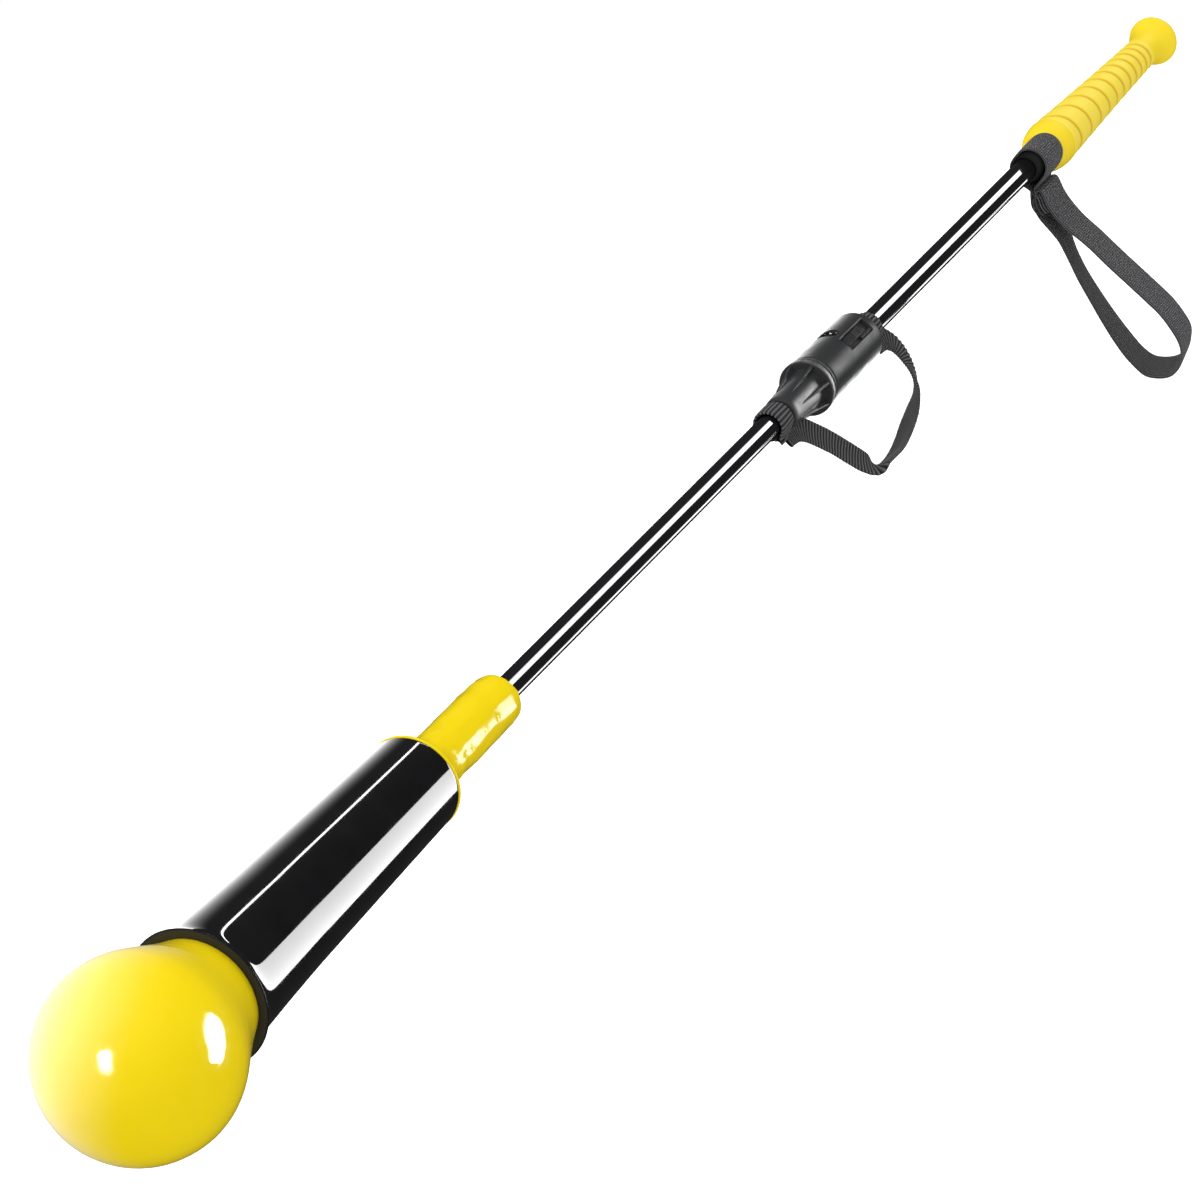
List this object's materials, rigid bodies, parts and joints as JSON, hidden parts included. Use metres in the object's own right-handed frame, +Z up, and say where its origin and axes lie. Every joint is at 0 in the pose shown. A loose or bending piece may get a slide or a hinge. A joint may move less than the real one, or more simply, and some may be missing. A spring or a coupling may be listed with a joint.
{
  "type": "swing trainer stick",
  "caption": "Straight two-piece training stick with a weighted ball head, tapered sleeve, magnetic plug coupling with tether, wrapped grip and wrist strap.",
  "frame": {"origin": "on the shaft axis in the middle of the wrapped grip, where a hand holds it", "axes": "+X along the shaft from the ball to the butt, +Z up with the straps hanging towards -Z, +Y to the left of +X"},
  "size_m": [1.167, 0.08, 0.1706],
  "materials": {
    "dip_yellow": "glossy dipped",
    "core_black": "moulded",
    "steel": "machined",
    "sleeve_black": "high gloss",
    "ring_matt": "matt",
    "shaft_black": "high gloss",
    "coupling_black": "satin moulded",
    "magnet": "plated",
    "seal": "matt",
    "grip_yellow": "satin wrap",
    "webbing": "coarse rib",
    "elastic": "fine weave"
  },
  "bodies": {
    "upper": {"coupling_body": "coupling_black", "body_screw": "steel", "slider_plate": "core_black", "upper_shaft": "shaft_black", "grip_core": "core_black", "grip_collar": "grip_yellow", "grip_wrap": "grip_yellow", "grip_knob": "grip_yellow", "butt_plug": "core_black", "tether_ring_upper": "webbing", "tether_web": "webbing"},
    "lower": {"head_skin": "dip_yellow", "head_core": "core_black", "head_weight": "steel", "weight_screw": "steel", "mouth_ring": "ring_matt", "head_sleeve": "sleeve_black", "head_barrel": "dip_yellow", "lower_shaft": "shaft_black", "shaft_pin": "steel", "cone_nut": "coupling_black", "spigot": "steel", "spigot_ring": "seal", "spigot_magnet": "magnet", "tether_ring_lower": "webbing"},
    "slider": {"slider_tab": "coupling_black", "slider_carrier": "core_black", "carrier_magnet": "magnet"},
    "strap": {"strap_ring": "elastic", "strap_knot": "elastic"},
    "loop": {"wrist_loop": "elastic"}
  },
  "joints": [
    {"name": "section_slide", "type": "slide", "parent": "upper", "child": "lower", "axis": [-1, 0, 0], "range_m": [0, 0.055], "deforming": ["tether_web"]},
    {"name": "strength_slide", "type": "slide", "parent": "upper", "child": "slider", "axis": [1, 0, 0], "range_m": [0, 0.006]},
    {"name": "strap_turn", "type": "hinge", "parent": "upper", "child": "strap", "pos_m": [-0.1069, 0, 0], "axis": [1, 0, 0], "continuous": true},
    {"name": "loop_swing", "type": "hinge", "parent": "strap", "child": "loop", "pos_m": [-0.1069, 0, -0.0186], "axis": [1, 0, 0], "range_deg": [-70, 70]}
  ]
}
